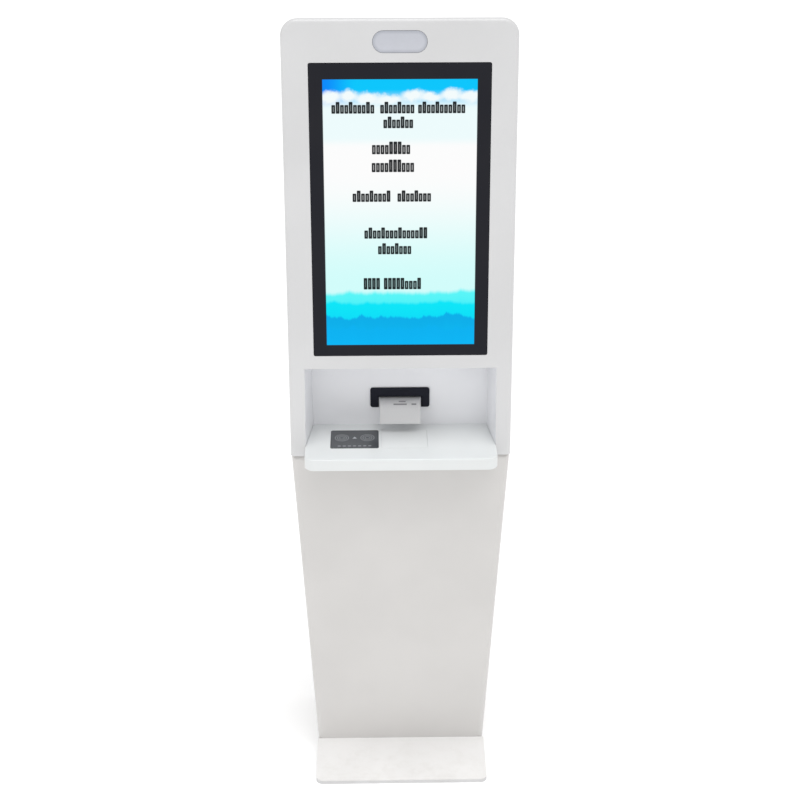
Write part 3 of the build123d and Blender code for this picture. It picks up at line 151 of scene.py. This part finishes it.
def screen_colour(red, green, blue):
    """A display colour, 0 to 255, as linear light."""
    def linear(c):
        c /= 255
        return c / 12.92 if c <= 0.04045 else ((c + 0.055) / 1.055) ** 2.4
    return linear(red), linear(green), linear(blue)


# ---------------------------------------------------------------- finishes
def powder_coat(name, colour, gloss_roughness=0.32):
    """Sprayed powder coat: a faint orange-peel skin, a little unevenness, dust low down."""
    paint = Paint(name, Specular_IOR_Level=0.5, Coat_Weight=0.25, Coat_Roughness=0.12)
    height = paint.axes()[2]
    cloud = paint.noise(6.0, 3.0)
    grime = (paint.noise(38.0, 5.0, 0.65) * height.ramp(0.0, 0.10, 1.0, 0.0)).ramp(0.35, 0.75)
    worn = tuple(c * 0.955 for c in colour)
    dirty = tuple(c * k for c, k in zip(colour, (0.80, 0.785, 0.76)))
    base = paint.mix(cloud.ramp(0.3, 0.7), colour, worn)
    paint.set("Base Color", paint.mix(grime * 0.35, base, dirty))
    paint.set("Roughness", cloud * 0.08 + (gloss_roughness - 0.04) + grime * 0.15)
    paint.bump(paint.noise(420.0, 1.0) + paint.noise(1500.0, 1.0) * 0.25, 0.00012, 0.35)
    return paint.material


def plated_steel(name, colour, roughness=0.34):
    """Zinc-plated or ground sheet, with its rolling grain and dull patches."""
    paint = Paint(name, Metallic=1.0)
    grain = paint.noise(160.0, 4.0, 0.6, (0.12, 1, 1))
    patch = paint.noise(22.0, 3.0)
    dull = tuple(c * 0.82 for c in colour)
    paint.set("Base Color", paint.mix(patch.ramp(0.35, 0.7), colour, dull))
    paint.set("Roughness", grain * 0.16 + patch * 0.12 + (roughness - 0.12))
    paint.bump(grain, 0.00004, 0.4)
    return paint.material


def anodised(name, colour):
    """Bead-blasted anodised aluminium."""
    paint = Paint(name, Metallic=0.9)
    speck = paint.noise(2400.0, 1.0)
    paint.set("Base Color", paint.mix(speck, colour, tuple(c * 0.9 for c in colour)))
    paint.set("Roughness", speck * 0.12 + 0.34)
    paint.bump(speck, 0.00003, 0.5)
    return paint.material


def polished_chrome(name):
    """Chrome plate with faint wipe marks."""
    paint = Paint(name, Metallic=1.0, Base_Color=(0.78, 0.78, 0.79))
    wipes = paint.noise(90.0, 4.0, 0.6, (1, 1, 0.2))
    paint.set("Roughness", wipes.ramp(0.4, 0.8, 0.06, 0.2))
    return paint.material


def moulded(name, colour, roughness, grain=900.0, relief=0.00005, coat=0.0, shine=0.5):
    """Moulded plastic with a fine spark-eroded texture."""
    paint = Paint(name, Coat_Weight=coat, Coat_Roughness=0.15, Specular_IOR_Level=shine)
    texture = paint.noise(grain, 2.0)
    patch = paint.noise(30.0, 3.0)
    lighter = tuple(min(c * 1.25 + 0.004, 1) for c in colour)
    paint.set("Base Color", paint.mix(texture * 0.5 + patch * 0.3, colour, lighter))
    paint.set("Roughness", patch * 0.1 + (roughness - 0.05))
    paint.bump(texture, relief, 0.5)
    return paint.material


def foam_rubber(name, colour=(0.035, 0.035, 0.037)):
    """Closed-cell foam and rubber: matt, with small pores."""
    paint = Paint(name)
    cells = paint.node("ShaderNodeTexVoronoi", None, {"Vector": paint.place, "Scale": 1100.0})
    pores = Num(paint, cells.outputs["Distance"])
    paint.set("Base Color", paint.mix(pores, colour, tuple(c * 2.2 for c in colour)))
    paint.set("Roughness", pores * 0.1 + 0.78)
    paint.bump(pores, 0.00008, 0.6)
    return paint.material


def circuit_board(name):
    """Green solder mask over copper tracks."""
    paint = Paint(name, Coat_Weight=0.5, Coat_Roughness=0.2)
    track = paint.node("ShaderNodeTexBrick", {"offset": 0.3, "squash": 1.4}, {
        "Vector": paint.place, "Scale": 130.0, "Mortar Size": 0.06, "Brick Width": 0.9, "Row Height": 0.35})
    lines = Num(paint, track.outputs["Fac"])
    paint.set("Base Color", paint.mix(lines, (0.015, 0.11, 0.055), (0.03, 0.2, 0.09)))
    paint.set("Roughness", lines * 0.15 + 0.35)
    return paint.material


def tinted_window(name):
    """The camera's smoky window: bluish grey, darker at its rim."""
    paint = Paint(name, Roughness=0.12, Coat_Weight=1.0, Coat_Roughness=0.04)
    low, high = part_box("camera_window")
    centre, half = (low + high) / 2, (high - low) / 2
    x, _, z = paint.axes()
    along = ((x - centre.x).abs() - (half.x - half.z)).most(0)
    rise = z - centre.z
    out = (along * along + rise * rise).root() / half.z
    shade = paint.mix(out.ramp(0.62, 1.0), screen_colour(186, 188, 196), screen_colour(160, 163, 172))
    haze = paint.noise(60.0, 3.0)
    paint.set("Base Color", paint.mix(haze * 0.3, shade, screen_colour(200, 204, 214)))
    return paint.material


# ---------------------------------------------------------------- the lit picture
LIT_W, LIT_H = 0.2681, 0.4766
CLOUDS = [(-0.90, 0.875, 0.16, 0.050), (-0.66, 0.885, 0.13, 0.045), (-0.42, 0.865, 0.17, 0.045),
          (-0.14, 0.855, 0.20, 0.040), (0.16, 0.885, 0.15, 0.045), (0.40, 0.870, 0.17, 0.040),
          (0.66, 0.890, 0.15, 0.045), (0.90, 0.875, 0.18, 0.045)]
MENU_ROWS = [  # up the picture, the row's middle, half its height and each word's width, in half pictures
    (0.797, -0.03, 0.040, (0.56, 0.42, 0.60)),
    (0.690, -0.03, 0.040, (0.38,)),
    (0.504, -0.11, 0.044, (0.52,)),
    (0.372, -0.105, 0.044, (0.54,)),
    (0.147, -0.105, 0.040, (0.52, 0.46)),
    (-0.131, -0.07, 0.040, (0.82,)),
    (-0.251, -0.065, 0.040, (0.47,)),
    (-0.520, -0.10, 0.042, (0.20, 0.52)),
]
RIDGES = [  # height of the crest, its swing, its grain, the hill's two colours and the crest's softness
    (-0.59, 0.16, 13.0, (0, 232, 252), (90, 248, 250), 0.022),
    (-0.67, 0.13, 20.0, (0, 214, 252), (0, 232, 250), 0.016),
    (-0.78, 0.26, 17.0, (0, 190, 248), (0, 176, 236), 0.012),
    (-0.87, 0.20, 28.0, (0, 188, 252), (0, 180, 244), 0.020),
]
HILL_FADE = 0.26
WORD_GAP, CELL, CELL_INK = 0.07, 0.056, 0.36


def word_of_cells(paint, along, rise, cells, half_tall):
    """A row of small round-cornered boxes that stands for a word: some tall, some short, some open."""
    place = along / CELL
    index = place.math("FLOOR")
    chance = ((index + half_tall * 90) * 1.93).math("SINE").math("MULTIPLY_ADD", 41.7, 0.5).math("FRACT")
    tall = chance.ramp(0.62, 0.64, half_tall * 0.72, half_tall)
    from_middle, from_foot = (place - index - 0.5).abs() * CELL, (rise + half_tall - tall).abs()
    dx = (from_middle - CELL * CELL_INK * 0.72).most(0)
    dy = (from_foot - tall + CELL * 0.1).most(0)
    solid = (dx * dx + dy * dy).root().ramp(CELL * 0.12, CELL * 0.24, 1.0, 0.0)
    slit = from_middle.ramp(CELL * 0.04, CELL * 0.13, 1.0, 0.0)
    slit = slit * (tall * 0.62 - from_foot).ramp(-0.005, 0.005)
    inside = along.ramp(-0.002, 0.002) * (along - cells * CELL).ramp(-0.002, 0.002, 1.0, 0.0)
    return solid * (1 - slit * chance.ramp(0.2, 0.9, 0.45, 0.15)) * inside


def picture(paint, across, up):
    """The display's picture: clouds, a pale sky, hills and rows of words made of plain boxes."""
    aspect = LIT_H / LIT_W
    ripple = (paint.noise(48.0, 6.0, 0.65) - 0.5) * 0.09
    sky_top = paint.mix(across.ramp(-1.0, -0.55), screen_colour(0, 140, 255), screen_colour(0, 200, 255))
    sky = paint.mix(up.ramp(0.78, 0.93), screen_colour(240, 254, 255), sky_top)
    body = paint.mix(up.ramp(-0.55, 0.35), screen_colour(212, 255, 253), screen_colour(255, 255, 255))
    colour = paint.mix(up.ramp(0.52, 0.60), body, sky)
    for cx, cy, half, tall in CLOUDS:
        dx, dy = (across - cx + ripple) / half, (up - cy + ripple) / tall
        puff = (dx * dx + dy * dy).root().ramp(0.45, 1.25, 1.0, 0.0)
        colour = paint.mix(puff, colour, screen_colour(246, 254, 255))
    below_clouds = up.ramp(0.76, 0.84, 1.0, 0.0) * (up.ramp(0.5, 0.6) * 0.85)
    colour = paint.mix(below_clouds, colour, screen_colour(240, 254, 255))
    for level, height, grain, near_foot, at_crest, soft in RIDGES:
        crest = (paint.noise(grain, 6.0, 0.62, (1, 0, 0)) - 0.5) * height + level
        hill = paint.mix((crest - up).ramp(0.0, HILL_FADE), screen_colour(*at_crest), screen_colour(*near_foot))
        colour = paint.mix((crest - up).ramp(-soft, soft), colour, hill)
    ink = None
    for row, centre, half_tall, widths in MENU_ROWS:
        total = sum(widths) + WORD_GAP * (len(widths) - 1)
        left = centre - total / 2
        for width in widths:
            cells = round(width / CELL)
            word = word_of_cells(paint, across - left, (up - row) * aspect, cells, half_tall * aspect)
            ink = word if ink is None else ink.most(word)
            left += width + WORD_GAP
    return paint.mix(ink * 0.98, colour, screen_colour(0, 4, 8))


def display_glass(name):
    """Cover glass with a black printed border round the lit picture."""
    paint = Paint(name, Roughness=0.12, Specular_IOR_Level=0.04, Coat_Roughness=0.05, Emission_Strength=0.97)
    centre = middle("lcd_panel")
    x, y, z = paint.axes()
    up = ((y - centre.y) * UP_FACE.y + (z - centre.z) * UP_FACE.z) / (LIT_H / 2)
    across = (x - centre.x) / (LIT_W / 2)
    edge_x = across.abs().ramp(0.994, 1.004, 1.0, 0.0)
    edge_z = up.abs().ramp(0.997, 1.003, 1.0, 0.0)
    lit = edge_x * edge_z
    smear = paint.noise(9.0, 3.0)
    border = paint.mix(smear, (0.002, 0.003, 0.009), (0.010, 0.010, 0.014))
    paint.set("Base Color", paint.mix(lit, border, (0.001, 0.001, 0.002)))
    paint.set("Coat Weight", (1 - lit) * 0.3)
    paint.set("Emission Color", paint.mix(lit, (0.0, 0.0, 0.0), picture(paint, across, up)))
    return paint.material


# ---------------------------------------------------------------- printed marks
RING_APART, RINGS_BACK, RING_RADII, RING_LINE = 0.024, 0.006, (0.0125, 0.0085, 0.0045), 0.0004
POINTER_HALF, POINTER_BACK, POINTER_SLOPE = 0.0018, 0.0025, 0.6
DASHES, DASH_STEP, DASH_HALF, DASH_FORWARD = 7, 0.0095, 0.0018, 0.026


def reader_face(name):
    """Dark grey reader window with two sets of pale rings, a pointer and a row of dashes."""
    paint = Paint(name, Coat_Weight=0.6, Coat_Roughness=0.12)
    centre = middle("reader_window")
    x, y, _ = paint.axes()
    dx, dy = x - centre.x, y - centre.y
    mark = None
    for side in (-1, 1):
        ex, ey = dx - side * RING_APART, dy - RINGS_BACK
        far = (ex * ex + ey * ey).root()
        for radius in RING_RADII:
            ring = (far - radius).abs().ramp(RING_LINE, 0.0009, 0.42, 0.0)
            mark = ring if mark is None else mark.most(ring)
    side_of = dx.abs() + (dy - RINGS_BACK) * POINTER_SLOPE
    pointer = side_of.ramp(POINTER_HALF, 0.0028, 0.8, 0.0) * (dy - POINTER_BACK).ramp(0.0, 0.0006)
    mark = mark.most(pointer)
    for i in range(DASHES):
        place = (i - DASHES // 2) * DASH_STEP
        ex = ((dx - place).abs() - DASH_HALF).most(0)
        ey = ((dy + DASH_FORWARD).abs() - 0.0003).most(0)
        dash = (ex * ex + ey * ey).root().ramp(0.0008, 0.0015, 0.5, 0.0)
        mark = mark.most(dash)
    haze = paint.noise(45.0, 3.0)
    base = paint.mix(haze, screen_colour(54, 57, 61), screen_colour(64, 67, 71))
    paint.set("Base Color", paint.mix(mark, base, screen_colour(186, 190, 194)))
    paint.set("Roughness", haze * 0.12 + 0.3)
    return paint.material


# each printed bar's distance from the slot's end of the ticket, width and place across
PRINTED_BARS = ((0.0285, 0.012, 0.004), (0.0345, 0.024, 0.0), (0.0345, 0.008, 0.026))
BAR_HALF, TICKET_FOOT = 0.0009, 0.70


def thermal_paper(name):
    """Smooth thermal paper, set grey as painted shade for the ticket in its bay; the ticket's upper face
    carries a few plain printed bars.
    """
    paint = Paint(name, Roughness=0.55, Sheen_Weight=0.1)
    low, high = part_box("ticket")
    centre = (low + high) / 2
    x, y, z = paint.axes()
    along = high.y - y
    marks = None
    for start, width, at in PRINTED_BARS:
        ex = ((x - centre.x - at).abs() - width / 2).most(0)
        ey = ((along - start).abs() - BAR_HALF).most(0)
        bar = (ex * ex + ey * ey).root().ramp(0.0002, 0.0009, 0.75, 0.0)
        marks = bar if marks is None else marks.most(bar)
    fibre = paint.noise(700.0, 4.0, 0.7)
    # painted shade: the paper's grey is darker than real thermal paper, standing in for the shade the ticket
    # sits in
    white = paint.mix(fibre, (0.56, 0.56, 0.57), (0.62, 0.62, 0.62))
    on_ticket = z.ramp(TICKET_FOOT, TICKET_FOOT + 0.0005)
    paint.set("Base Color", paint.mix(marks * on_ticket, white, (0.10, 0.10, 0.11)))
    paint.bump(fibre, 0.00003, 0.4)
    return paint.material


# ---------------------------------------------------------------- materials by slot
HEAD_WHITE, COLUMN_WHITE = (0.655, 0.655, 0.66), (0.65, 0.635, 0.62)
# painted light: the shelf, bay liner and foot whites are lighter than the head's, partly their own slight tints
# and partly raised to stand in for the light on the upward-facing shelf and foot and to lift the shade in the
# bay
SHELF_TINT_AND_LIGHT, BAY_TINT_AND_LIGHT, FOOT_TINT_AND_LIGHT = (0.76, 0.78, 0.78), (0.87, 0.875, 0.90), (0.84, 0.83, 0.82)
FINISHES = {
    "white_paint": lambda n: powder_coat(n, HEAD_WHITE),
    "grey_steel": lambda n: powder_coat(n, (0.16, 0.165, 0.17), 0.5),
    "zinc_steel": lambda n: plated_steel(n, (0.62, 0.63, 0.65)),
    "blade_steel": lambda n: plated_steel(n, (0.70, 0.71, 0.73), 0.22),
    "screen_glass": display_glass,
    "tinted_window": tinted_window,
    "reader_face": reader_face,
    "black_plastic": lambda n: moulded(n, (0.018, 0.018, 0.02), 0.5),
    "bezel_plastic": lambda n: moulded(n, (0.008, 0.009, 0.016), 0.45, shine=0.12),
    "lcd_plastic": lambda n: moulded(n, (0.06, 0.06, 0.065), 0.4),
    "white_plastic": lambda n: moulded(n, screen_colour(236, 237, 237), 0.3, coat=0.2),
    "foam": foam_rubber,
    "roller_rubber": lambda n: foam_rubber(n, (0.05, 0.05, 0.055)),
    "board_green": circuit_board,
    "case_aluminium": lambda n: anodised(n, (0.52, 0.53, 0.55)),
    "motor_metal": lambda n: plated_steel(n, (0.42, 0.43, 0.45), 0.4),
    "gear_plastic": lambda n: moulded(n, (0.80, 0.78, 0.71), 0.42),
    "paper": thermal_paper,
    "lock_chrome": polished_chrome,
    "lens_glass": lambda n: moulded(n, (0.01, 0.01, 0.016), 0.08, coat=1.0),
}


# Pieces with their own white; the shelf, bay liner and foot whites also carry painted light
WHITES = {
    "column_white": (COLUMN_WHITE, ("column_front", "column_side_left", "column_side_right")),
    "shelf_white_painted_light": (SHELF_TINT_AND_LIGHT, ("ticket_shelf", "blanking_plate")),
    "bay_white_painted_light": (BAY_TINT_AND_LIGHT, ("bay_liner",)),
    "foot_white_painted_light": (FOOT_TINT_AND_LIGHT, ("foot_cover",)),
}


def paint_node(node, material):
    """Puts one material on a frame node."""
    data = NODES[node].data
    data.materials.clear()
    data.materials.append(material)


def dress_frame():
    """Gives every frame node the finish of its slot; the column gets a warmer white, and the shelf, bay liner
    and foot get lighter whites, partly their own tints and partly painted light.
    """
    made = {slot: finish(slot + "_finish") for slot, finish in FINISHES.items()}
    for part in frame["record"]["subparts"]:
        paint_node(part["node"], made[part["material_slot"]])
    for name, (colour, nodes) in WHITES.items():
        white = powder_coat(name, colour)
        for node in nodes:
            paint_node(node, white)


# ---------------------------------------------------------------- camera, light and floor
FLOOR_GLOW, SKY_STRENGTH, SKY_COLOUR = 0.18, 0.66, (1.0, 1.0, 1.0)
SUN_FROM, SUN_STRENGTH, SUN_SIZE = (0.10, -0.26, 1.0), 1.55, 50.0
LEFT_POWER, LEFT_AT, LEFT_SIZE, LIGHT_AIM = 4.0, (-1.6, -1.8, 2.1), 1.2, (0, 0, 0.8)
FLOOR_HALF = 30
CAMERA_AT = Vector((-0.0477, -2.7360, 1.8533))
CAMERA_YAW, CAMERA_PITCH, CAMERA_ROLL = radians(1.01), radians(-21.88), radians(-0.07)
CAMERA_LENS, SENSOR = 69.4, 36.0


def camera():
    """The viewpoint: above the head's middle, looking down a little."""
    data = bpy.data.cameras.new("camera")
    data.lens, data.sensor_width = CAMERA_LENS, SENSOR
    made = bpy.data.objects.new("camera", data)
    turn = Matrix.Rotation(-CAMERA_YAW, 4, "Z") @ Matrix.Rotation(pi / 2 + CAMERA_PITCH, 4, "X")
    made.matrix_world = Matrix.Translation(CAMERA_AT) @ turn @ Matrix.Rotation(CAMERA_ROLL, 4, "Z")
    bpy.context.scene.collection.objects.link(made)
    bpy.context.scene.camera = made


def soft_light(name, at, aim, size, power):
    """A square area light that points at a place."""
    data = bpy.data.lights.new(name, "AREA")
    data.shape, data.size, data.energy = "SQUARE", size, power
    made = bpy.data.objects.new(name, data)
    made.location = at
    made.rotation_euler = (Vector(aim) - Vector(at)).to_track_quat("-Z", "Y").to_euler()
    bpy.context.scene.collection.objects.link(made)


def studio():
    """A plain pale floor, a white surround and two soft lights."""
    floor = bmesh.new()
    bmesh.ops.create_grid(floor, x_segments=1, y_segments=1, size=FLOOR_HALF)
    mesh = bpy.data.meshes.new("floor")
    floor.to_mesh(mesh)
    floor.free()
    made = bpy.data.objects.new("floor", mesh)
    bpy.context.scene.collection.objects.link(made)
    paint = Paint("pale_floor", Roughness=0.9, Base_Color=(0.9, 0.9, 0.9), Specular_IOR_Level=0.0,
                  Emission_Color=(1.0, 1.0, 1.0), Emission_Strength=FLOOR_GLOW)
    mesh.materials.append(paint.material)
    world = bpy.data.worlds.new("surround")
    world.use_nodes = True
    world.node_tree.nodes["Background"].inputs[0].default_value = (*SKY_COLOUR, 1)
    world.node_tree.nodes["Background"].inputs[1].default_value = SKY_STRENGTH
    bpy.context.scene.world = world
    soft_light("left_front", LEFT_AT, LIGHT_AIM, LEFT_SIZE, LEFT_POWER)
    broad = bpy.data.lights.new("broad", "SUN")
    broad.energy, broad.angle = SUN_STRENGTH, radians(SUN_SIZE)
    made = bpy.data.objects.new("broad", broad)
    made.rotation_euler = Vector(SUN_FROM).to_track_quat("Z", "Y").to_euler()
    bpy.context.scene.collection.objects.link(made)


camera()
dress_frame()
studio()
bpy.context.scene.view_settings.view_transform = "Standard"
